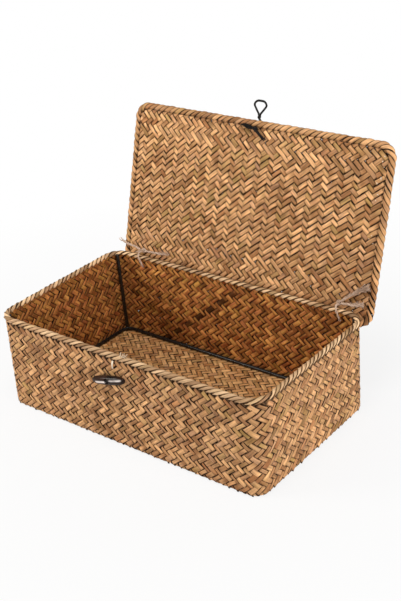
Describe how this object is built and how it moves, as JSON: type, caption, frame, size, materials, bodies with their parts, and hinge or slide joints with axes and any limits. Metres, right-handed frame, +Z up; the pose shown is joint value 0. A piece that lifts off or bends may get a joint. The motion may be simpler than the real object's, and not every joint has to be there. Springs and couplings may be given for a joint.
{
  "type": "woven lidded box",
  "caption": "Rectangular plaited straw box on a wire frame, with a flat lid hinged on twine ties and closed by an elastic loop over a horn toggle.",
  "frame": {"origin": "centre of the base's flat underside", "axes": "+X along the box's length, to the right seen from the toggle side; +Y from the toggle side to the hinge side; +Z up"},
  "size_m": [0.339, 0.2666, 0.2849],
  "materials": {
    "straw": "plaited split seagrass, matt to satin",
    "binding_straw": "paler plaited seagrass, satin",
    "black_wire": "black painted wire, glossy",
    "twine": "undyed twisted twine, matt",
    "elastic_cord": "black covered elastic cord",
    "horn": "polished dark horn with pale streaks"
  },
  "bodies": {
    "box": {"woven_basket": "straw", "rim_binding": "binding_straw", "top_wire_ring": "black_wire", "bottom_wire_ring": "black_wire", "wire_post_back_right": "black_wire", "wire_post_back_left": "black_wire", "wire_post_front_left": "black_wire", "wire_post_front_right": "black_wire", "hinge_tie_left": "twine", "hinge_tie_right": "twine", "toggle_string": "elastic_cord", "toggle_string_knot": "elastic_cord"},
    "lid": {"lid_panel": "straw", "lid_border": "straw", "lid_wire_ring": "black_wire", "hinge_knot_left": "twine", "hinge_knot_right": "twine", "hinge_tail_left_outer": "twine", "hinge_tail_left_inner": "twine", "hinge_tail_right_outer": "twine", "hinge_tail_right_inner": "twine", "closure_stem": "elastic_cord", "closure_knot": "elastic_cord", "closure_end_long": "elastic_cord", "closure_end_frayed": "elastic_cord"},
    "loop": {"closure_loop": "elastic_cord", "closure_loop_neck": "elastic_cord"},
    "toggle": {"toggle": "horn"}
  },
  "joints": [
    {"name": "lid_hinge", "type": "hinge", "parent": "box", "child": "lid", "pos_m": [0, 0.0898, 0.0937], "axis": [1, 0, 0], "range_deg": [0, 106], "deforming": ["hinge_tie_left", "hinge_tie_right", "hinge_tail_left_outer"]},
    {"name": "loop_flip", "type": "hinge", "parent": "lid", "child": "loop", "pos_m": [0.0015, 0.15712, 0.26643], "axis": [-1, 0, 0], "range_deg": [-75, 60], "stiffness_Nm_per_rad": 0.0004},
    {"name": "toggle_swivel", "type": "hinge", "parent": "box", "child": "toggle", "pos_m": [-0.0078, -0.09973, 0.0787], "axis": [0, 1, 0], "range_deg": [-90, 90]}
  ]
}
